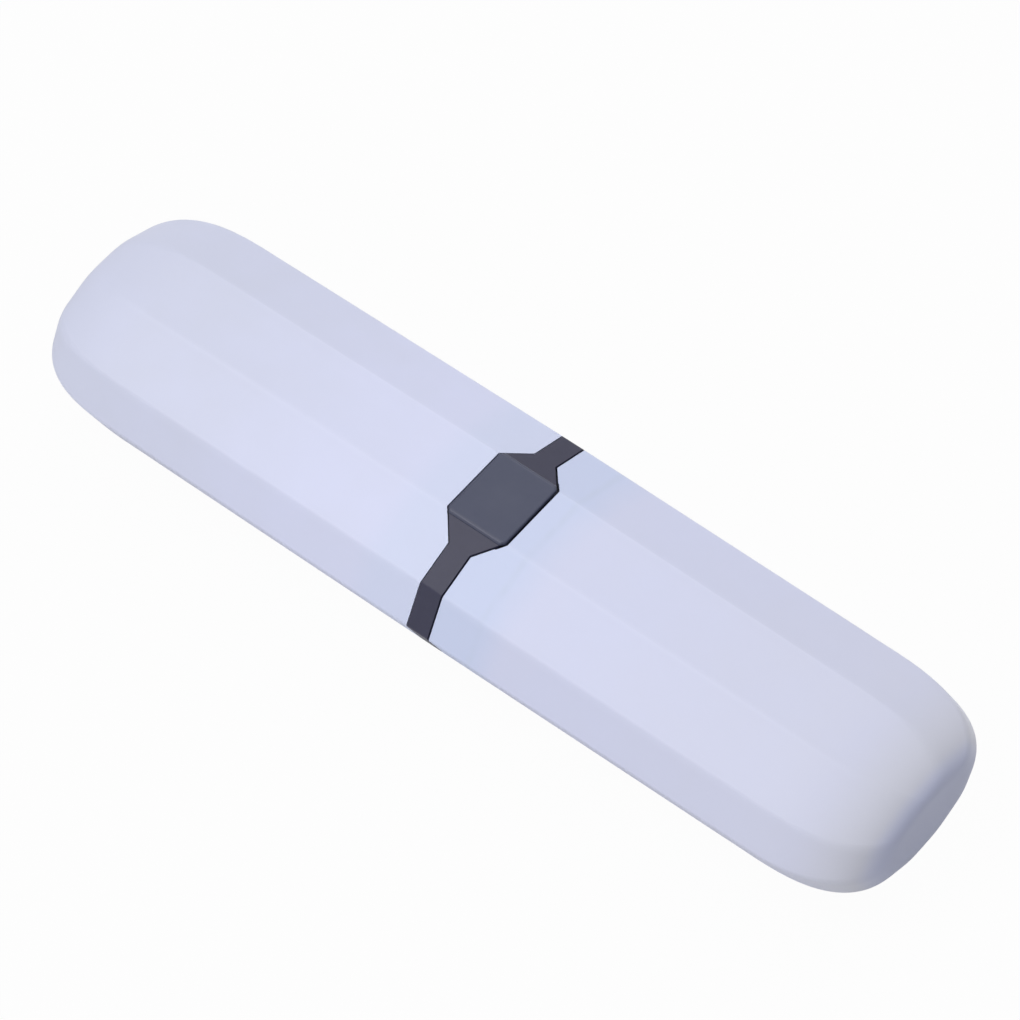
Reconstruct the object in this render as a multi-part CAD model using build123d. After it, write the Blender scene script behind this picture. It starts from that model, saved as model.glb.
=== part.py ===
from build123d import *
import math
import os

os.makedirs("parts", exist_ok=True)

# A toothbrush case that lies on its bottom facet. All sizes are in millimetres.
# X runs along the case, with the base half at -X and the lid half at +X. Y runs across, Z is up.
# Heights here are taken from the mid-plane, which lies half_height above the ground.

# Outer form: a flattened ten-sided tube, the same for both halves
half_length = 107.7
half_width = 28.0
half_height = 16.2
facet_half = 8.5
shoulder_y = 23.3
shoulder_z = 10.1
width_draft = 0.0034
height_draft = 0.0122
crease_r = 1.0
inner_crease_r = 0.4

# Rounded ends, which close on a small flat face
end_length = 26.5
end_half_width = 10.0
end_half_height = 6.5
end_power = 2.6
end_round_share = 0.45
end_lead = 8.0
end_steps = 9

# Walls of the two shells. Their mouths are rebated to take the neck.
wall = 2.0
mouth_wall = 1.6
base_gap = 0.25
lid_gap = 0.43
seat_gap = 0.2

# Band around the neck between the two mouths, with a flank on each shoulder that tapers from the button
band_half = 2.6
flank_y = 14.0

# Neck sleeve, fixed in the base and sliding in the lid
neck_wall = 1.5
neck_rear = 16.0
neck_lip = 1.35
fixed_gap = 0.04
slide_gap = 0.16

# How far a cutting shape runs past what it cuts
overcut = 3.0

# Button cap, which covers the top facet and rounds over both creases down to the flanks. The room that each
# shell leaves around it reaches a little past its sides.
cap_half = 7.4
cap_corner_y = 8.3
cap_side = 9.35
cap_side_r = 0.7
cap_proud = 0.2
cap_side_gap = 0.05
cap_base_gap = 0.3
cap_lid_gap = 0.6
base_room_past = 0.25
lid_room_past = 1.05
cap_corner_r = 0.6
cap_edge_r = 0.4
press_travel = 1.0
press_spare = 0.2

# Button stem, and the snap legs that keep the button in
stem_r = 1.6
stem_half = 2.2
stem_lift = 0.05
guide_gap = 0.15
leg_y = 5.6
leg_thick = 1.0
leg_long = 2.6
barb_out = 0.4
barb_high = 0.8
barb_gap = 0.1

# Latch lever, which tilts on a steel pin and carries the hook
lever_gap = 0.35
lever_thick = 1.4
lever_half = 2.6
barrel_r = 1.5
pin_r = 0.75
pin_gap = 0.05
pin_press = 0.01
pin_land = 0.35
ear_gap = 0.2
ear_thick = 1.7
ear_margin = 0.1
hook_tip = 0.5
hook_slope = 1.7
hook_half = 2.4
hook_reach = 0.65
hook_gap = 0.2
hook_swing = 0.45
catch_land = 1.25
catch_depth = 0.9
catch_long = 2.6

# Return spring under the lever
spring_x = 1.5
spring_r = 1.5
wire_r = 0.17
spring_turns = 3
spring_gap = 0.02
spigot_gap = 0.25
spigot_high = 0.8

# Cover that closes the latch from inside, and its screws
cover_half = 8.4
cover_rear_step = 1.1
cover_front_step = 0.2
cover_wall = 0.9
cover_floor = 1.0
cover_fit = 0.1
lever_room = 0.4
boss_r = 1.6
boss_y = 5.6
boss_gap = 0.2
screw_r = 0.8
screw_head_r = 1.45
screw_head = 0.9
screw_head_round = 0.4
cross_long = 1.7
cross_wide = 0.4
cross_deep = 0.5
screw_bite = 3.2
thread_gap = 0.02
boss_sink = 0.4

# Places along the case that follow from the sizes above
hook_x = cap_half + cap_lid_gap + catch_land + hook_gap
lever_front = hook_x + hook_slope
window_front = lever_front + hook_swing
neck_front = window_front + neck_lip
cover_rear = cover_rear_step - neck_rear
cover_front = neck_front - cover_front_step
rear_boss_x = cover_rear + cover_wall + boss_gap + boss_r
front_boss_x = cover_front - cover_wall - boss_gap - boss_r
pivot_x = rear_boss_x + boss_r + pin_land + pin_r

# Heights that follow from the sizes above
neck_slide_inset = mouth_wall + slide_gap
neck_fixed_inset = mouth_wall + fixed_gap
cavity_inset = neck_slide_inset + neck_wall
roof_top = half_height - neck_slide_inset
roof_under = half_height - cavity_inset
cap_under = roof_top + press_spare + press_travel
lever_top = roof_under - lever_gap
lever_under = lever_top - lever_thick
pivot_z = lever_top - barrel_r
tilt_per_mm = 1 / -pivot_x
hook_drop = (lever_front - pivot_x) * math.sin(press_travel * tilt_per_mm)
floor_top = lever_under - hook_drop - lever_room
floor_under = floor_top - cover_floor
hook_top = half_height - mouth_wall + hook_reach


def end_drop(x, tip):
    """How far the section at x has closed towards the end face, from 0 to 1."""
    reach = (abs(x) - tip + end_length) / end_length
    reach = min(max(reach, 0), 1)
    return 1 - (1 - reach**end_power) ** (1 / end_power)


def outer_corners(x, tip):
    """The ten (y, z) corners of the outer section at x, counter-clockwise seen from +X."""
    run = max(abs(x) - band_half, 0)
    drop = end_drop(x, tip)
    width = half_width - width_draft * run
    rise = half_height - height_draft * run
    wide = (width + (end_half_width - width) * drop) / half_width
    high = (rise + (end_half_height - rise) * drop) / half_height
    low = (half_height + (end_half_height - half_height) * drop) / half_height
    upper = [
        (half_width, 0),
        (shoulder_y, shoulder_z),
        (facet_half, half_height),
        (-facet_half, half_height),
        (-shoulder_y, shoulder_z),
    ]
    lower = [(-y, -z) for y, z in upper]
    return [(y * wide, z * high) for y, z in upper] + [(y * wide, z * low) for y, z in lower]


def inset(points, depth):
    """The same convex polygon with every side moved in by depth, or out if it is negative."""
    moved = []
    for before, here, after in zip(points[-1:] + points[:-1], points, points[1:] + points[:1]):
        arrive = (Vector(*here) - Vector(*before)).normalized()
        leave = (Vector(*after) - Vector(*here)).normalized()
        first = Vector(-arrive.Y, arrive.X)
        second = Vector(-leave.Y, leave.X)
        corner = Vector(*here) + (first + second) * (depth / (1 + first.dot(second)))
        moved.append((corner.X, corner.Y))
    return moved


def corner_radii(points, depth, drop):
    """Corner radii of a section: the crease radius along the tube, and nearly an oval at the end face."""
    crease = max(crease_r - depth, inner_crease_r)
    radii = []
    for before, here, after in zip(points[-1:] + points[:-1], points, points[1:] + points[:1]):
        arrive = Vector(*here) - Vector(*before)
        leave = Vector(*after) - Vector(*here)
        half_turn = math.radians(arrive.get_angle(leave)) / 2
        oval = end_round_share * min(arrive.length, leave.length) / math.tan(half_turn)
        radii.append(crease + (oval - crease) * drop)
    return radii


def section(x, depth, tip):
    """Face across the tube at x, set in from the outer surface by depth."""
    points = inset(outer_corners(x, tip), depth)
    rim = FilletPolyline(*points, radius=corner_radii(points, depth, end_drop(x, tip)), close=True)
    across = Plane(origin=(x, 0, 0), x_dir=(0, 1, 0), z_dir=(1, 0, 0))
    return across * make_face(rim)


def open_form(start, stop, depth, tip=half_length):
    """Solid stretch of the tube between two places, set in by depth."""
    middle = [x for x in (-band_half, band_half) if start < x < stop]
    return loft([section(x, depth, tip) for x in [start, *middle, stop]], ruled=True)


def closed_form(start, tip, depth):
    """Solid stretch of the tube from start to its rounded end."""
    round_start = tip - end_length
    steps = [math.sin(math.pi / 2 * i / end_steps) for i in range(end_steps + 1)]
    places = [round_start - end_lead] + [round_start + end_length * step for step in steps]
    end = loft([section(x, depth, tip) for x in places])
    return open_form(start, round_start - end_lead, depth, tip) + end


def block(x, y, z):
    """Box between two places on each axis."""
    size = (x[1] - x[0], y[1] - y[0], z[1] - z[0])
    middle = (sum(x) / 2, sum(y) / 2, sum(z) / 2)
    return Pos(*middle) * Box(*size)


def across_bar(points, half):
    """Bar along Y with the outline that the (x, z) points give, half wide on each side."""
    outline = Plane.XZ * make_face(Polyline(*points, close=True))
    return extrude(outline, amount=half, both=True)


def across_rod(x, z, radius, half):
    """Round bar along Y."""
    return Pos(x, 0, z) * Rot(90, 0, 0) * Cylinder(radius, 2 * half)


def upright_rod(x, y, radius, bottom, top):
    """Round bar along Z."""
    return Pos(x, y, (bottom + top) / 2) * Cylinder(radius, top - bottom)


def flank_prism(gap):
    """Upright prism around the button and the flanks: wide at the button, tapering to the band."""
    corner = [(cap_half, cap_corner_y), (band_half, flank_y)]
    points = corner + [(-x, y) for x, y in corner[::-1]]
    points += [(-x, -y) for x, y in corner] + [(x, -y) for x, y in corner[::-1]]
    outline = make_face(Polyline(*inset(points, -gap), close=True))
    return extrude(outline, amount=half_height + overcut)


def button_room(past):
    """Upright block across the top, which reaches past the button's sides by the given room."""
    reach = cap_half + overcut
    side = cap_side + past
    return block((-reach, reach), (-side, side), (0, half_height + overcut))


def notch(gap, cap_gap, past):
    """What a shell's mouth gives way to: the flanks, and with more room the moving button."""
    return flank_prism(gap) + (flank_prism(cap_gap) & button_room(past))


def cup_blank():
    """Hollow rounded cup from the middle of the band towards +X."""
    return closed_form(0, half_length, 0) - closed_form(-overcut, half_length - wall, wall)


def cup(blank, gap, opening, seat):
    """The blank cut back to one half's mouth, with the notch's opening and a rebate that is seat deep."""
    mouth = band_half + gap
    reach = half_width + overcut
    waste = block((-overcut, mouth), (-reach, reach), (-half_height - overcut, half_height + overcut))
    rebate = open_form(mouth - overcut, seat, mouth_wall)
    return blank - [waste, rebate, opening]


def base_shell(blank):
    """Rear half, which holds the brush handle."""
    opening = notch(base_gap, cap_base_gap, base_room_past)
    half = cup(blank, base_gap, opening, neck_rear + seat_gap)
    return mirror(half, about=Plane.YZ)


def lid_shell(blank):
    """Front half, with a blind pocket inside its top wall for the hook."""
    opening = notch(lid_gap, cap_lid_gap, lid_room_past)
    half = cup(blank, lid_gap, opening, neck_front + seat_gap)
    pocket_x = hook_x - hook_gap
    pocket_z = half_height - mouth_wall - overcut
    pocket = block(
        (pocket_x, pocket_x + catch_long),
        (-hook_half - hook_gap, hook_half + hook_gap),
        (pocket_z, half_height - mouth_wall + catch_depth),
    )
    return half - pocket


def boss_places():
    """The (x, y) places of the cover's screws."""
    return [(x, y) for x in (rear_boss_x, front_boss_x) for y in (-boss_y, boss_y)]


def leg_slot(side, gap):
    """Upright block around one snap leg, on the side that the sign gives."""
    near = leg_y - leg_thick / 2 - gap
    far = leg_y + leg_thick / 2 + gap
    span = sorted((side * near, side * far))
    return block((-leg_long / 2 - gap, leg_long / 2 + gap), span, (0, half_height))


def pin_ear(sign):
    """Ear that carries the pin beside the lever, on the side that the sign gives."""
    near = lever_half + ear_gap
    span = sorted((sign * near, sign * (near + ear_thick)))
    ear_x = (pivot_x - barrel_r - ear_margin, pivot_x + barrel_r + ear_margin)
    return block(ear_x, span, (pivot_z - barrel_r, roof_top - boss_sink))


def neck_sleeve():
    """Sleeve in both mouths, with the latch's bosses and ears under its roof and openings in it."""
    front = open_form(band_half, neck_front, neck_slide_inset)
    rear = open_form(-neck_rear, band_half, neck_fixed_inset)
    cavity = open_form(-neck_rear - overcut, neck_front + overcut, cavity_inset)
    bosses = [upright_rod(x, y, boss_r, floor_top, roof_top - boss_sink) for x, y in boss_places()]
    sleeve = (front + rear - cavity).fuse(*bosses, pin_ear(-1), pin_ear(1))
    screw_bore = screw_r + thread_gap
    pin_reach = lever_half + ear_gap + ear_thick + ear_margin
    stem_x = stem_r + guide_gap
    stem_y = stem_half + guide_gap
    hook_y = hook_half + hook_gap
    cutters = [
        across_rod(pivot_x, pivot_z, pin_r + pin_press, pin_reach),
        block((-stem_x, stem_x), (-stem_y, stem_y), (roof_under - overcut, half_height)),
        block((hook_x - hook_gap, window_front), (-hook_y, hook_y), (lever_under, half_height)),
        leg_slot(-1, guide_gap),
        leg_slot(1, guide_gap),
    ]
    for x, y in boss_places():
        cutters.append(upright_rod(x, y, screw_bore, floor_top - overcut, floor_top + screw_bite))
    return sleeve - cutters


def band_ring():
    """Dark ring between the mouths, flush with both shells and open at the top for the button."""
    reach = cap_half + overcut
    ring = open_form(-band_half, band_half, 0) + (open_form(-reach, reach, 0) & flank_prism(0))
    return ring - [open_form(-reach, reach, mouth_wall), button_room(cap_side_gap)]


def button():
    """Cap that a thumb presses, with a rounded stem on the lever and two snap legs."""
    # The least upward share of a normal that tells the cap's outer faces from its upright sides
    looking_up = 0.5
    cap_top = half_height + cap_proud
    profile = Pos(0, (cap_under + cap_top) / 2) * Rectangle(2 * cap_side, cap_top - cap_under)
    profile = fillet(profile.vertices().group_by(Axis.Y)[-1], cap_side_r)
    cap = extrude(Plane.YZ * profile, amount=cap_half, both=True) & flank_prism(0)
    reach_y = (cap_corner_y + cap_side) / 2
    corners = cap.edges().filter_by(Axis.Z).filter_by_position(Axis.Y, -reach_y, reach_y)
    cap = fillet(corners, cap_corner_r)
    outer_faces = cap.faces().filter_by(lambda face: face.normal_at().Z > looking_up)
    cap = fillet(outer_faces.edges().filter_by(Axis.X, reverse=True), cap_edge_r)
    tip_z = lever_top + stem_lift + stem_r
    stem = block((-stem_r, stem_r), (-stem_half, stem_half), (tip_z, cap_under))
    stem += across_rod(0, tip_z, stem_r, stem_half)
    legs = [snap_leg(sign) for sign in (-1, 1)]
    return cap + stem + legs[0] + legs[1]


def snap_leg(sign):
    """Leg with a barb under the roof, on the side that the sign gives."""
    top = roof_under - barb_gap
    near = leg_y - leg_thick / 2
    far = leg_y + leg_thick / 2
    span = (-leg_long / 2, leg_long / 2)
    leg = block(span, sorted((sign * near, sign * far)), (top - barb_high, cap_under))
    barb = block(span, sorted((sign * near, sign * (far + barb_out))), (top - barb_high, top))
    return leg + barb


def latch_lever():
    """Flat lever around the pin, with the hook that stands up through the roof into the lid."""
    bar = across_bar(
        [
            (pivot_x, lever_under),
            (lever_front, lever_under),
            (lever_front, lever_top),
            (pivot_x, lever_top),
        ],
        lever_half,
    )
    hook = across_bar(
        [
            (hook_x, lever_under),
            (hook_x + hook_slope, lever_under),
            (hook_x + hook_slope, roof_top - slide_gap),
            (hook_x + hook_tip, hook_top),
            (hook_x, hook_top),
        ],
        hook_half,
    )
    barrel = across_rod(pivot_x, pivot_z, barrel_r, lever_half)
    eye = across_rod(pivot_x, pivot_z, pin_r + pin_gap, lever_half + overcut)
    return bar + hook + barrel - eye


def pivot_pin():
    """Steel pin pressed through both ears of the sleeve."""
    return across_rod(pivot_x, pivot_z, pin_r, lever_half + ear_gap + ear_thick)


def return_spring():
    """Compression spring between the cover and the lever."""
    bottom = floor_top + wire_r + spring_gap
    height = lever_under - wire_r - spring_gap - bottom
    coil = Helix(pitch=height / spring_turns, height=height, radius=spring_r)
    start = Plane(origin=coil @ 0, z_dir=coil % 0)
    wire = sweep(start * Circle(wire_r), path=coil, is_frenet=True)
    return Pos(spring_x, 0, bottom) * wire


def latch_cover():
    """Tray that closes the latch off from the brush, with a spigot for the spring."""
    tray = block((cover_rear, cover_front), (-cover_half, cover_half), (floor_under, half_height))
    room_x = (cover_rear + cover_wall, cover_front - cover_wall)
    room_y = (-cover_half + cover_wall, cover_half - cover_wall)
    tray -= block(room_x, room_y, (floor_top, half_height + overcut))
    tray &= open_form(cover_rear - overcut, cover_front + overcut, cavity_inset + cover_fit)
    spigot_r = spring_r - wire_r - spigot_gap
    tray += upright_rod(spring_x, 0, spigot_r, floor_top, floor_top + spigot_high)
    for x, y in boss_places():
        tray -= upright_rod(x, y, screw_r + thread_gap, floor_under - overcut, floor_top + overcut)
    return tray


def cover_screws():
    """Four small pan-head screws with a cross in the head, driven from inside the case."""
    screws = []
    for x, y in boss_places():
        head_under = floor_under - screw_head
        head = upright_rod(x, y, screw_head_r, head_under, floor_under)
        head = fillet(head.edges().sort_by(Axis.Z)[0], screw_head_round)
        for half_x, half_y in ((cross_long / 2, cross_wide / 2), (cross_wide / 2, cross_long / 2)):
            slot_x = (x - half_x, x + half_x)
            slot_y = (y - half_y, y + half_y)
            head -= block(slot_x, slot_y, (head_under - overcut, head_under + cross_deep))
        shank = upright_rod(x, y, screw_r, floor_under, floor_top + screw_bite)
        screws.append(head + shank)
    return Compound(children=screws)


shell_blank = cup_blank()
pieces = {
    "base_shell": base_shell(shell_blank),
    "lid_shell": lid_shell(shell_blank),
    "neck_sleeve": neck_sleeve(),
    "band_ring": band_ring(),
    "button": button(),
    "latch_lever": latch_lever(),
    "pivot_pin": pivot_pin(),
    "return_spring": return_spring(),
    "latch_cover": latch_cover(),
    "cover_screws": cover_screws(),
}
for name, piece in pieces.items():
    export_step(Pos(0, 0, half_height) * piece, f"parts/{name}.step")
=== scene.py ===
import math

import bpy
from mathutils import Matrix, Vector


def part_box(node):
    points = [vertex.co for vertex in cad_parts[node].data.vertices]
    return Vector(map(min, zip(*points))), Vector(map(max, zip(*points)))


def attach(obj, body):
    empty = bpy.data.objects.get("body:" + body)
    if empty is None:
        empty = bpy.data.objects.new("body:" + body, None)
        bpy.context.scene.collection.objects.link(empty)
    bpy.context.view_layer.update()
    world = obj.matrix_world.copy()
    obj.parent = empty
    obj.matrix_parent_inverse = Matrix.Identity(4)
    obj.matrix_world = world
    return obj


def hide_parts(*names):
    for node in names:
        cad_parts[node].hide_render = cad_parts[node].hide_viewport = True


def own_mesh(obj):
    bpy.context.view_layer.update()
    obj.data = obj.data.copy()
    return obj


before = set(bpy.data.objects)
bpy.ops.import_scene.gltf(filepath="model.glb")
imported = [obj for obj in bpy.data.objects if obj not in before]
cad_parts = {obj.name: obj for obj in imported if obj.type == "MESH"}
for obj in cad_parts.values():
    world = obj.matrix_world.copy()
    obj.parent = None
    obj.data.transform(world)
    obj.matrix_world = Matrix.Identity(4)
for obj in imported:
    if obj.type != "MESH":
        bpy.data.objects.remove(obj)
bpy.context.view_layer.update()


# Base shell
# The rear half of the case, a deep cup that holds the brush's handle. It is injection-moulded
# polypropylene, pigmented a pale lavender, and its mouth is glued over the back of the neck sleeve.

def linear(hex_colour):
    """Linear RGBA of an sRGB colour written as RRGGBB."""
    parts = [int(hex_colour[i:i + 2], 16) / 255 for i in (0, 2, 4)]
    return [c / 12.92 if c <= 0.04045 else ((c + 0.055) / 1.055) ** 2.4 for c in parts] + [1.0]


def add_node(tree, kind, settings=(), links=()):
    """Adds a shader node. Settings name its properties or inputs, and links feed its inputs."""
    node = tree.nodes.new("ShaderNode" + kind)
    for name, value in dict(settings).items():
        if isinstance(name, int) or name in node.inputs:
            node.inputs[name].default_value = value
        else:
            setattr(node, name, value)
    for name, source in dict(links).items():
        tree.links.new(source, node.inputs[name])
    return node


def new_material(name):
    """An empty node material, its tree, and the place on the object, in metres, as an output."""
    material = bpy.data.materials.new(name)
    material.use_nodes = True
    tree = material.node_tree
    tree.nodes.clear()
    return material, tree, add_node(tree, "TexCoord").outputs["Object"]


def dress(piece, material, surface):
    """Finishes a material with its surface shader and gives it to a piece."""
    add_node(material.node_tree, "OutputMaterial", {}, {"Surface": surface})
    piece.data.materials.clear()
    piece.data.materials.append(material)


def grained_face(tree, place, grain, depth, smoothest, roughest):
    """Roughness and normal of a moulded face, whose even grain has a width and a depth in metres."""
    noise = {"Scale": 1 / grain, "Detail": 1.0}
    noise = add_node(tree, "TexNoise", noise, {"Vector": place}).outputs["Fac"]
    bump = {"Strength": 1.0, "Distance": depth}
    normal = add_node(tree, "Bump", bump, {"Height": noise}).outputs["Normal"]
    rough = add_node(tree, "MapRange", {"To Min": smoothest, "To Max": roughest}, {"Value": noise})
    return rough.outputs["Result"], normal


def off_middle(tree, place, axis):
    """Distance from the middle of the case along an axis, on either side of it."""
    part = add_node(tree, "SeparateXYZ", {}, {"Vector": place}).outputs[axis]
    return add_node(tree, "Math", {"operation": "ABSOLUTE"}, {0: part}).outputs[0]


def crease_share(tree, place):
    """Share of crease on the outer form: 1 along the long creases, 0 on the facets and the ends."""
    across = off_middle(tree, place, "Y")
    nearest = None
    for crease in crease_places:
        off = add_node(tree, "Math", {"operation": "SUBTRACT", 1: crease}, {0: across}).outputs[0]
        off = add_node(tree, "Math", {"operation": "ABSOLUTE"}, {0: off}).outputs[0]
        if nearest:
            off = add_node(tree, "Math", {"operation": "MINIMUM"}, {0: off, 1: nearest}).outputs[0]
        nearest = off
    line = {"From Min": crease_reach, "From Max": 0.0, "interpolation_type": "SMOOTHSTEP"}
    share = add_node(tree, "MapRange", line, {"Value": nearest}).outputs["Result"]
    fade = {"From Min": crease_gone, "From Max": crease_full, "interpolation_type": "SMOOTHSTEP"}
    inward = add_node(tree, "MapRange", fade, {"Value": off_middle(tree, place, "X")}).outputs["Result"]
    return add_node(tree, "Math", {"operation": "MULTIPLY"}, {0: share, 1: inward}).outputs[0]


def cloudy_colour(tree, along, cloud, change, mouth_colour, end_colour):
    """Colour of a shell, which changes from mouth to end over a stretch along it, a little cloudy."""
    gradient = {"From Min": change[0], "From Max": change[1], "interpolation_type": "SMOOTHSTEP"}
    towards_end = add_node(tree, "MapRange", gradient, {"Value": along}).outputs["Result"]
    drift = {"From Min": cloud_noise[0], "From Max": cloud_noise[1]}
    drift.update({"To Min": -cloud_depth, "To Max": cloud_depth})
    drift = add_node(tree, "MapRange", drift, {"Value": cloud}).outputs["Result"]
    total = {"operation": "ADD", "use_clamp": True}
    share = add_node(tree, "Math", total, {0: towards_end, 1: drift}).outputs[0]
    ends = {"data_type": "RGBA", 6: linear(mouth_colour), 7: linear(end_colour)}
    return add_node(tree, "Mix", ends, {0: share}).outputs[2]


def shaded_from(tree, colour, along, start, end, shade, most=1.0):
    """Colour that turns to a shade between two places along the case, up to a share of it."""
    zone = {"From Min": start, "From Max": end, "To Max": most, "interpolation_type": "SMOOTHSTEP"}
    share = add_node(tree, "MapRange", zone, {"Value": along}).outputs["Result"]
    mix = {"data_type": "RGBA", 7: linear(shade)}
    return add_node(tree, "Mix", mix, {0: share, 6: colour}).outputs[2]


def shell_surface(tree, place, colour, smoothest, roughest):
    """Blasted polypropylene of a colour, with a faint painted highlight along its creases."""
    # Painted highlight: the creases are mixed towards a lighter colour.
    polish_and_highlight = {"operation": "MULTIPLY", 1: crease_highlight_share}
    polish_and_highlight = add_node(tree, "Math", polish_and_highlight, {0: crease_share(tree, place)}).outputs[0]
    mix = {"data_type": "RGBA", 7: linear(crease_highlight_colour)}
    colour = add_node(tree, "Mix", mix, {0: polish_and_highlight, 6: colour}).outputs[2]
    rough, normal = grained_face(tree, place, blast_grain, blast_depth, smoothest, roughest)
    links = {"Base Color": colour, "Roughness": rough, "Normal": normal}
    return add_node(tree, "BsdfPrincipled", {"IOR": 1.49}, links).outputs["BSDF"]


millimetre = 0.001

# The creases of the ten-sided form lie at these distances from the middle. Along the case they are
# full as far as crease_full, and gone at crease_gone, within the rounded end.
crease_places = (8.5 * millimetre, 23.3 * millimetre)
crease_reach = 0.9 * millimetre
crease_full = 72 * millimetre
crease_gone = 92 * millimetre

# Polypropylene scatters light in its wall, so its colour is soft and a little cloudy, more lavender
# near the mouth and greyer at the rounded end. The two values of cloud_noise are what its noise mostly
# lies between.
base_mouth_colour = "D7DBF5"
base_end_colour = "D1D5EA"
base_change = (-10 * millimetre, -95 * millimetre)
cloud_size = 14 * millimetre
cloud_noise = (0.35, 0.65)
cloud_depth = 0.12
# Painted shade: over the sleeve the mouth's thinner wall is painted faintly bluish, as the dark sleeve
# behind it shows through.
base_sleeve_painted_shade = "CCD7F0"
base_sleeve_share = 0.4
sleeve_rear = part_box("neck_sleeve")[0].x
sleeve_blur = 4 * millimetre
# The mould was blasted, which gives a satin face. Real blasting grain is about 0.05 mm, too fine to
# show, so it is drawn five times as coarse. The creases are painted a little lighter, a painted
# highlight.
blast_grain = 0.25 * millimetre
blast_depth = 0.0016 * millimetre
crease_highlight_colour = "E2E5FA"
crease_highlight_share = 0.1

material, tree, place = new_material("polypropylene_lavender_blasted")
along = add_node(tree, "SeparateXYZ", {}, {"Vector": place}).outputs["X"]
clouds = {"Scale": 1 / cloud_size, "Detail": 2.0}
cloud = add_node(tree, "TexNoise", clouds, {"Vector": place}).outputs["Fac"]
colour = cloudy_colour(tree, along, cloud, base_change, base_mouth_colour, base_end_colour)
over_sleeve = (sleeve_rear - sleeve_blur, sleeve_rear + sleeve_blur)
colour = shaded_from(tree, colour, along, *over_sleeve, base_sleeve_painted_shade, most=base_sleeve_share)
surface = shell_surface(tree, place, colour, smoothest=0.4, roughest=0.5)
dress(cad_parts["base_shell"], material, surface)


# Lid shell
# The front half of the case, which pulls off the neck. It is the same polypropylene with less pigment,
# so it looks milky. Its mouth is thinned to go over the neck, and is painted a bluish shade there, as
# the dark neck behind it shows through.

lid_mouth_colour = "D3D7F0"
lid_end_colour = "D2D5EA"
lid_change = (20 * millimetre, 100 * millimetre)
# The wall is thickest where it rounds into the end face. There the colour is painted greyer, as its
# highlight, and the end face is painted bluer again, as its bluish shade.
round_painted_highlight = "D4D6E4"
face_painted_shade = "CED4F2"
round_start = 90 * millimetre
round_middle = 104 * millimetre
round_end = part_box("lid_shell")[1].x
# Scatter in the wall carries the soft end of this painted shade past the neck's front edge, and the end
# wanders a little.
neck_painted_shade = "CBD4F0"
neck_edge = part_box("neck_sleeve")[1].x
zone_start = neck_edge - 1.5 * millimetre
zone_end = neck_edge + 8 * millimetre
wander_noise = (0.3, 0.7)
zone_wander = 1.2 * millimetre
# A thin line of painted shade marks the neck's front edge behind the wall, where the wall also steps
# inside. In places it is only a quarter as strong.
line_painted_shade = "C9D2EC"
line_reach = 1.4 * millimetre
line_patch = 5 * millimetre
line_noise = (0.35, 0.6)
line_faintest = 0.25

material, tree, place = new_material("polypropylene_milky_blasted")
along = add_node(tree, "SeparateXYZ", {}, {"Vector": place}).outputs["X"]
cloud = add_node(tree, "TexNoise", clouds, {"Vector": place}).outputs["Fac"]
colour = cloudy_colour(tree, along, cloud, lid_change, lid_mouth_colour, lid_end_colour)
# Painted highlight tint over the rounding, then painted bluish shade on the end face.
colour = shaded_from(tree, colour, along, round_start, round_middle, round_painted_highlight)
colour = shaded_from(tree, colour, along, round_middle, round_end, face_painted_shade)
wander = {"From Min": wander_noise[0], "From Max": wander_noise[1]}
wander.update({"To Min": -zone_wander, "To Max": zone_wander})
wander = add_node(tree, "MapRange", wander, {"Value": cloud}).outputs["Result"]
wandering = add_node(tree, "Math", {"operation": "ADD"}, {0: along, 1: wander}).outputs[0]
# Painted shade of the neck behind the lid's mouth.
colour = shaded_from(tree, colour, wandering, zone_end, zone_start, neck_painted_shade)
off_edge = add_node(tree, "Math", {"operation": "SUBTRACT", 1: neck_edge}, {0: along}).outputs[0]
off_edge = add_node(tree, "Math", {"operation": "ABSOLUTE"}, {0: off_edge}).outputs[0]
line = {"From Min": line_reach, "From Max": 0.0, "interpolation_type": "SMOOTHSTEP"}
line = add_node(tree, "MapRange", line, {"Value": off_edge}).outputs["Result"]
patches = {"Scale": 1 / line_patch, "Detail": 1.0}
patch = add_node(tree, "TexNoise", patches, {"Vector": place}).outputs["Fac"]
strength = {"From Min": line_noise[0], "From Max": line_noise[1], "To Min": line_faintest}
strength = add_node(tree, "MapRange", strength, {"Value": patch}).outputs["Result"]
line = add_node(tree, "Math", {"operation": "MULTIPLY"}, {0: line, 1: strength}).outputs[0]
mix = {"data_type": "RGBA", 7: linear(line_painted_shade)}
colour = add_node(tree, "Mix", mix, {0: line, 6: colour}).outputs[2]
surface = shell_surface(tree, place, colour, smoothest=0.38, roughest=0.48)
dress(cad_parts["lid_shell"], material, surface)


# Neck sleeve
# The sleeve that joins the halves and carries the latch, with bosses and ears under its roof. It is
# dark grey ABS from a plain milled mould, and the lid has rubbed it paler and smoother lengthwise.

sleeve_colour = "363743"
rubbed_colour = "454652"
rub_spacing = 0.8 * millimetre
rub_stretch = 0.04
rub_noise = (0.52, 0.75)
rub_most = 0.6
rub_depth = 0.002 * millimetre

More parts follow.
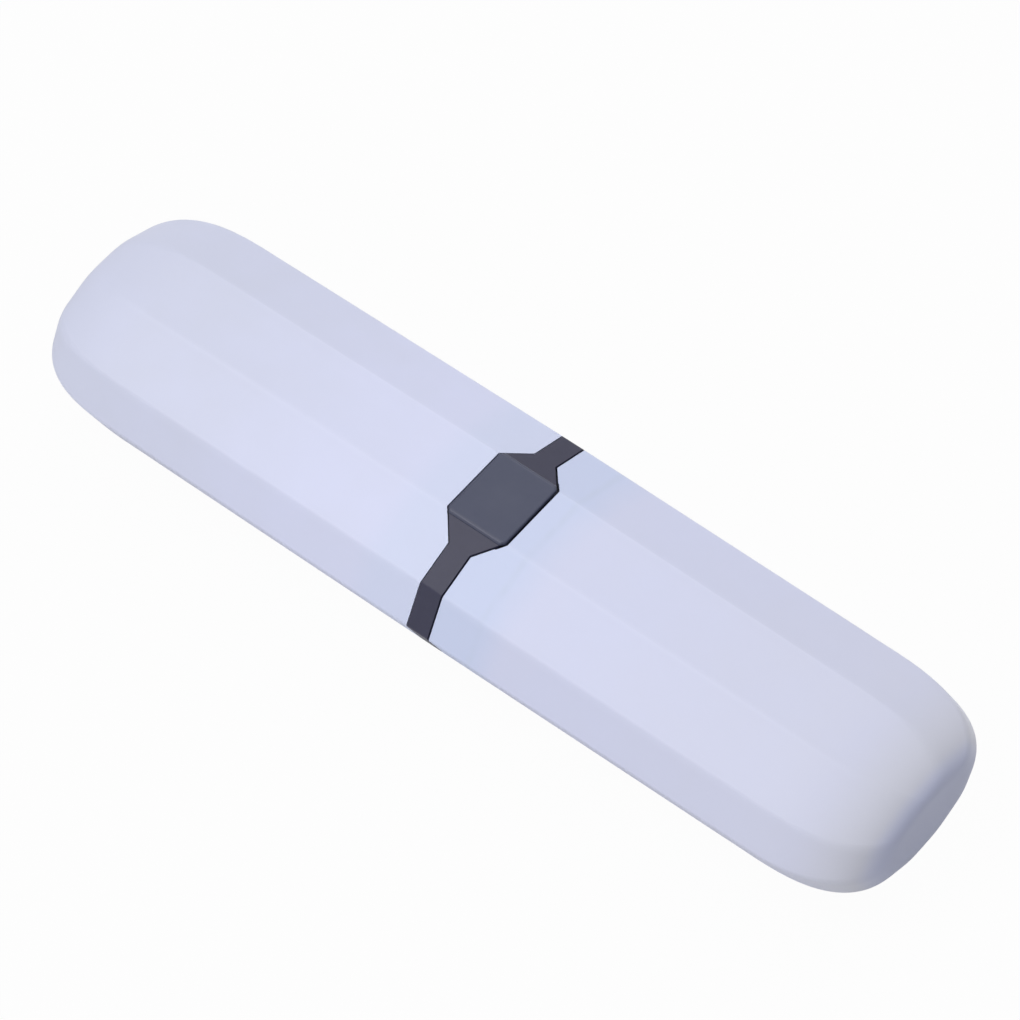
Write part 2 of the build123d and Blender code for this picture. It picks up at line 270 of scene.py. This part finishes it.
material, tree, place = new_material("abs_dark_grey_rubbed")
stretch = {"Scale": (rub_stretch, 1, 1)}
lengthwise = add_node(tree, "Mapping", stretch, {"Vector": place}).outputs["Vector"]
marks = {"Scale": 1 / rub_spacing, "Detail": 3.0}
mark = add_node(tree, "TexNoise", marks, {"Vector": lengthwise}).outputs["Fac"]
rubbed = {"From Min": rub_noise[0], "From Max": rub_noise[1], "To Max": rub_most}
rubbed = add_node(tree, "MapRange", rubbed, {"Value": mark}).outputs["Result"]
mix = {"data_type": "RGBA", 6: linear(sleeve_colour), 7: linear(rubbed_colour)}
colour = add_node(tree, "Mix", mix, {0: rubbed}).outputs[2]
rough = add_node(tree, "MapRange", {"To Min": 0.55, "To Max": 0.35}, {"Value": rubbed}).outputs["Result"]
bump = {"Strength": 1.0, "Distance": rub_depth}
normal = add_node(tree, "Bump", bump, {"Height": mark}).outputs["Normal"]
links = {"Base Color": colour, "Roughness": rough, "Normal": normal}
surface = add_node(tree, "BsdfPrincipled", {"IOR": 1.54}, links).outputs["BSDF"]
dress(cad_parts["neck_sleeve"], material, surface)


# Band ring
# A ring over the sleeve between the two mouths, which widens to a flank on each side of the button.
# It is dark grey ABS from a finely eroded mould, which gives an even satin, and is glued to the sleeve.

def mottled_colour(tree, place, patch_width, first, second, detail=3.0):
    """Colour that drifts between two shades in patches of a width in metres."""
    patches = {"Scale": 1 / patch_width, "Detail": detail}
    patch = add_node(tree, "TexNoise", patches, {"Vector": place}).outputs["Fac"]
    mix = {"data_type": "RGBA", 6: linear(first), 7: linear(second)}
    return add_node(tree, "Mix", mix, {0: patch}).outputs[2]


band_colour = "323246"
band_light_colour = "39394D"
mottle = 3 * millimetre
# The grain breaks the gloss up, so the surface mirrors less than smooth ABS. Real fine eroded grain
# is well under 0.1 mm wide, too fine to show, so it is drawn coarser.
satin_gloss = 0.25
satin_grain = 0.2 * millimetre
satin_depth = 0.0014 * millimetre

material, tree, place = new_material("abs_dark_grey_satin")
colour = mottled_colour(tree, place, mottle, band_colour, band_light_colour)
rough, normal = grained_face(tree, place, satin_grain, satin_depth, smoothest=0.32, roughest=0.42)
settings = {"IOR": 1.54, "Specular IOR Level": satin_gloss}
links = {"Base Color": colour, "Roughness": rough, "Normal": normal}
surface = add_node(tree, "BsdfPrincipled", settings, links).outputs["BSDF"]
dress(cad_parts["band_ring"], material, surface)


# Button
# The cap that a thumb presses. It is the band's ABS, and thumbs have polished its middle a little, and
# its two long rounded edges more. These edges are also painted lighter, a painted highlight.

button_colour = "42465A"
button_light_colour = "494D61"
button_low, button_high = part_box("button")
thumb_place = (button_low + button_high) / 2
thumb_place.z = button_high.z
thumb_reach = 7 * millimetre
thumb_polish = 0.04
edge_highlight_colour = "4A4D61"
edge_start = button_high.y - 1.0 * millimetre
edge_full = button_high.y - 0.5 * millimetre
edge_polish = 0.3

material, tree, place = new_material("abs_dark_grey_polished_painted_highlight")
colour = mottled_colour(tree, place, mottle, button_colour, button_light_colour)
rough, normal = grained_face(tree, place, satin_grain, satin_depth, smoothest=0.4, roughest=0.52)
span = {"operation": "DISTANCE", 1: thumb_place}
off_thumb = add_node(tree, "VectorMath", span, {0: place}).outputs["Value"]
thumb = {"From Min": thumb_reach, "From Max": 0.0, "To Max": thumb_polish}
thumb["interpolation_type"] = "SMOOTHSTEP"
thumb = add_node(tree, "MapRange", thumb, {"Value": off_thumb}).outputs["Result"]
rough = add_node(tree, "Math", {"operation": "SUBTRACT"}, {0: rough, 1: thumb}).outputs[0]
# The long rounded edges get a painted highlight in their colour, and polish in their roughness.
edge = {"From Min": edge_start, "From Max": edge_full}
edge = add_node(tree, "MapRange", edge, {"Value": off_middle(tree, place, "Y")}).outputs["Result"]
mix = {"data_type": "RGBA", 7: linear(edge_highlight_colour)}
colour = add_node(tree, "Mix", mix, {0: edge, 6: colour}).outputs[2]
polish_and_highlight = add_node(tree, "Math", {"operation": "MULTIPLY", 1: edge_polish}, {0: edge}).outputs[0]
rough = add_node(tree, "Math", {"operation": "SUBTRACT"}, {0: rough, 1: polish_and_highlight}).outputs[0]
settings = {"IOR": 1.54, "Specular IOR Level": satin_gloss}
links = {"Base Color": colour, "Roughness": rough, "Normal": normal}
surface = add_node(tree, "BsdfPrincipled", settings, links).outputs["BSDF"]
dress(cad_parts["button"], material, surface)


# Latch lever
# The flat lever under the roof, with the hook that holds the lid. It is natural acetal, which slides
# well on steel, from a plain mould, and looks white and waxy.

acetal_colour = "E9E8E1"
acetal_shade = "DDDBD2"
acetal_patch = 1.5 * millimetre

material, tree, place = new_material("acetal_natural")
colour = mottled_colour(tree, place, acetal_patch, acetal_colour, acetal_shade, detail=2.0)
rough, normal = grained_face(tree, place, satin_grain, satin_depth, smoothest=0.3, roughest=0.4)
links = {"Base Color": colour, "Roughness": rough, "Normal": normal}
surface = add_node(tree, "BsdfPrincipled", {"IOR": 1.48}, links).outputs["BSDF"]
dress(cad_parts["latch_lever"], material, surface)


# Pivot pin
# The lever's pin, pressed through both ears of the sleeve. It is stainless steel rod, ground to size,
# and the wheel has left fine rings around it.

def steel_surface(tree, pattern, bright, dull, smoothest, roughest, normal=None):
    """Bare steel that goes from bright and smooth to dull and rough with a pattern."""
    mix = {"data_type": "RGBA", 6: linear(bright), 7: linear(dull)}
    colour = add_node(tree, "Mix", mix, {0: pattern}).outputs[2]
    rough = {"To Min": smoothest, "To Max": roughest}
    rough = add_node(tree, "MapRange", rough, {"Value": pattern}).outputs["Result"]
    links = {"Base Color": colour, "Roughness": rough}
    if normal:
        links["Normal"] = normal
    return add_node(tree, "BsdfPrincipled", {"Metallic": 1.0}, links).outputs["BSDF"]


ground_colour = "C9C8C4"
ground_shade = "A9A8A5"
# Real grinding rings are finer than 0.1 mm, so they are drawn a little coarser.
ring_spacing = 0.12 * millimetre
ring_stretch = 0.05

material, tree, place = new_material("stainless_ground")
stretch = {"Scale": (ring_stretch, 1, ring_stretch)}
around = add_node(tree, "Mapping", stretch, {"Vector": place}).outputs["Vector"]
rings = {"Scale": 1 / ring_spacing, "Detail": 2.0}
ring = add_node(tree, "TexNoise", rings, {"Vector": around}).outputs["Fac"]
surface = steel_surface(tree, ring, ground_colour, ground_shade, smoothest=0.18, roughest=0.34)
dress(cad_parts["pivot_pin"], material, surface)


# Return spring
# Three open turns of drawn stainless spring wire between the cover and the lever. Drawing leaves it
# bright, with a thin grey film. The real spring shortens as the lever comes down; this coil keeps one
# length and moves with the base.

wire_r = 0.17 * millimetre
spring_turns = 3
turn_steps = 36
wire_sides = 14
spring_low, spring_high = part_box("return_spring")
coil_r = (spring_high.x - spring_low.x) / 2 - wire_r
coil_foot = Vector((spring_low.x + wire_r + coil_r, 0, spring_low.z + wire_r))
coil_rise = spring_high.z - spring_low.z - 2 * wire_r


def wire_ring(share):
    """Points around the wire at a share of the way up the coil."""
    sweep = 2 * math.pi * spring_turns
    outward = Vector((math.cos(sweep * share), math.sin(sweep * share), 0))
    forward = Vector((-outward.y * coil_r * sweep, outward.x * coil_r * sweep, coil_rise)).normalized()
    upward = outward.cross(forward)
    centre = coil_foot + coil_r * outward + Vector((0, 0, coil_rise * share))
    around = [2 * math.pi * side / wire_sides for side in range(wire_sides)]
    return [centre + wire_r * (math.cos(turn) * outward + math.sin(turn) * upward) for turn in around]


steps = spring_turns * turn_steps
points = [point for step in range(steps + 1) for point in wire_ring(step / steps)]
last_ring = steps * wire_sides
cut_ends = [list(range(wire_sides)), [last_ring + side for side in reversed(range(wire_sides))]]
wire_faces = []
for step in range(steps):
    for side in range(wire_sides):
        first, second = (step * wire_sides + corner % wire_sides for corner in (side, side + 1))
        wire_faces.append((first, first + wire_sides, second + wire_sides, second))
mesh = bpy.data.meshes.new("return_spring_coil")
mesh.from_pydata(points, [], cut_ends + wire_faces)
for face in mesh.polygons:
    face.use_smooth = face.index >= len(cut_ends)
spring = bpy.data.objects.new("return_spring_coil", mesh)
bpy.context.scene.collection.objects.link(spring)

wire_colour = "BDBBB6"
film_colour = "8F8D89"
film_patch = 0.5 * millimetre

material, tree, place = new_material("spring_wire_drawn")
patches = {"Scale": 1 / film_patch, "Detail": 3.0}
film = add_node(tree, "TexNoise", patches, {"Vector": place}).outputs["Fac"]
surface = steel_surface(tree, film, wire_colour, film_colour, smoothest=0.22, roughest=0.42)
dress(spring, material, surface)

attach(spring, "base")
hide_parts("return_spring")
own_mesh(spring)


# Latch cover
# The tray that closes the latch off from the brush and holds the spring's foot, held by four screws.
# It is dark grey ABS with a coarser eroded grain than the band's, which looks nearly matt.

cover_colour = "33343F"
cover_light_colour = "3D3E4A"
# The real grain is about 0.1 mm wide, and drawn coarser, as the band's is.
cover_grain = 0.35 * millimetre
cover_depth = 0.004 * millimetre

material, tree, place = new_material("abs_dark_grey_eroded")
colour = mottled_colour(tree, place, mottle, cover_colour, cover_light_colour)
rough, normal = grained_face(tree, place, cover_grain, cover_depth, smoothest=0.55, roughest=0.68)
links = {"Base Color": colour, "Roughness": rough, "Normal": normal}
surface = add_node(tree, "BsdfPrincipled", {"IOR": 1.54}, links).outputs["BSDF"]
dress(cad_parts["latch_cover"], material, surface)


# Cover screws
# Four small pan-head screws, driven up through the cover into the sleeve's bosses. They are stainless
# steel, cold-headed and tumbled, which leaves an even satin with faint dents.

screw_colour = "B9B8B4"
screw_shade = "979692"
dent_size = 0.3 * millimetre
dent_depth = 0.006 * millimetre

material, tree, place = new_material("stainless_tumbled")
dents = {"Scale": 1 / dent_size, "Detail": 2.0}
dent = add_node(tree, "TexNoise", dents, {"Vector": place}).outputs["Fac"]
bump = {"Strength": 1.0, "Distance": dent_depth}
normal = add_node(tree, "Bump", bump, {"Height": dent}).outputs["Normal"]
satin = {"smoothest": 0.28, "roughest": 0.42}
surface = steel_surface(tree, dent, screw_colour, screw_shade, **satin, normal=normal)
dress(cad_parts["cover_screws"], material, surface)


# Table
# The case lies on a plain pale surface, which the eye sees as white and which keeps a faint soft
# shadow. Gloss low on the case shows it shaded by the case itself.

def seen_directly(tree, gloss_share=None):
    """1 for rays from the camera, or by way of gloss or glass, and 0 for the light that falls. Gloss
    may see only a share."""
    rays = add_node(tree, "LightPath").outputs
    gloss = rays["Is Glossy Ray"]
    if gloss_share:
        gloss = add_node(tree, "Math", {"operation": "MULTIPLY"}, {0: gloss, 1: gloss_share}).outputs[0]
    seen = rays["Is Camera Ray"]
    for ray in (gloss, rays["Is Transmission Ray"]):
        seen = add_node(tree, "Math", {"operation": "MAXIMUM"}, {0: seen, 1: ray}).outputs[0]
    return seen


table_half = 3.0
table_colour = "BCBCBE"
table_glow = 0.97
shade_reach = 30 * millimetre

mesh = bpy.data.meshes.new("table")
sides = (-table_half, table_half)
mesh.from_pydata([(x, y, 0) for y in sides for x in sides], [], [(0, 1, 3, 2)])
table = bpy.data.objects.new("table", mesh)
bpy.context.scene.collection.objects.link(table)
material, tree, place = new_material("table_pale_matt")
shade = {"samples": 4, "Distance": shade_reach}
open_share = add_node(tree, "AmbientOcclusion", shade).outputs["AO"]
glow = {"operation": "MULTIPLY", 1: table_glow}
glow = add_node(tree, "Math", glow, {0: seen_directly(tree, open_share)}).outputs[0]
matt = add_node(tree, "BsdfDiffuse", {"Color": linear(table_colour)}).outputs[0]
white = add_node(tree, "Emission", {"Color": (1, 1, 1, 1), "Strength": 1.0}).outputs[0]
surface = add_node(tree, "MixShader", {}, {0: glow, 1: matt, 2: white}).outputs[0]
dress(table, material, surface)


# Light
# A plain room that is white to the eye, a large soft lamp above, two smaller ones that give the
# creases and the button's top their soft gloss, and one on each long side.

room_light = 0.17

room = bpy.data.worlds.new("room")
bpy.context.scene.world = room
room.use_nodes = True
tree = room.node_tree
tree.nodes.clear()
level = {"To Min": room_light, "To Max": 1.0}
level = add_node(tree, "MapRange", level, {"Value": seen_directly(tree)}).outputs["Result"]
light = add_node(tree, "Background", {"Color": (1, 1, 1, 1)}, {"Strength": level}).outputs[0]
add_node(tree, "OutputWorld", {}, {"Surface": light})


def add_lamp(name, place, side, watts, mirrored=True):
    """A square soft lamp at a place, turned towards the middle of the case. Gloss may leave it out."""
    data = bpy.data.lights.new(name, "AREA")
    data.size = side
    data.energy = watts
    lamp = bpy.data.objects.new(name, data)
    lamp.location = place
    lamp.rotation_euler = (-Vector(place)).to_track_quat("-Z", "Y").to_euler()
    lamp.visible_glossy = mirrored
    bpy.context.scene.collection.objects.link(lamp)


add_lamp("top_lamp", (-0.2, 0.12, 1.4), side=1.4, watts=6.5)
add_lamp("crease_lamp", (-0.81, -0.68, 1.95), side=0.9, watts=8.3)
add_lamp("sheen_lamp", (-0.86, 1.08, 1.97), side=1.05, watts=5.2)
add_lamp("near_lamp", (-0.05, -1.4, 0.26), side=1.2, watts=14.2, mirrored=False)
add_lamp("far_lamp", (-0.1, 1.3, 0.9), side=1.2, watts=8.8, mirrored=False)


# Camera
# It looks down at 55 degrees, from 38 degrees round to the lid's side of the near long side, with a
# long lens.

turn = math.radians(38.3222)
tilt = math.radians(54.8737)
distance = 1.1271776
aim = Vector((-0.0040848, 0.0075834, 0.0162))
sensor = 36.0
focal = 193.263
back = Vector((math.sin(turn) * math.cos(tilt), -math.cos(turn) * math.cos(tilt), math.sin(tilt)))
right = Vector((math.cos(turn), math.sin(turn), 0))
up = back.cross(right)
facing = Matrix((right, up, back)).transposed().to_4x4()
camera_data = bpy.data.cameras.new("camera")
camera_data.sensor_width = sensor
camera_data.lens = focal
camera = bpy.data.objects.new("camera", camera_data)
camera.matrix_world = Matrix.Translation(aim + distance * back) @ facing
bpy.context.scene.collection.objects.link(camera)
bpy.context.scene.camera = camera

bpy.context.scene.view_settings.view_transform = "Standard"
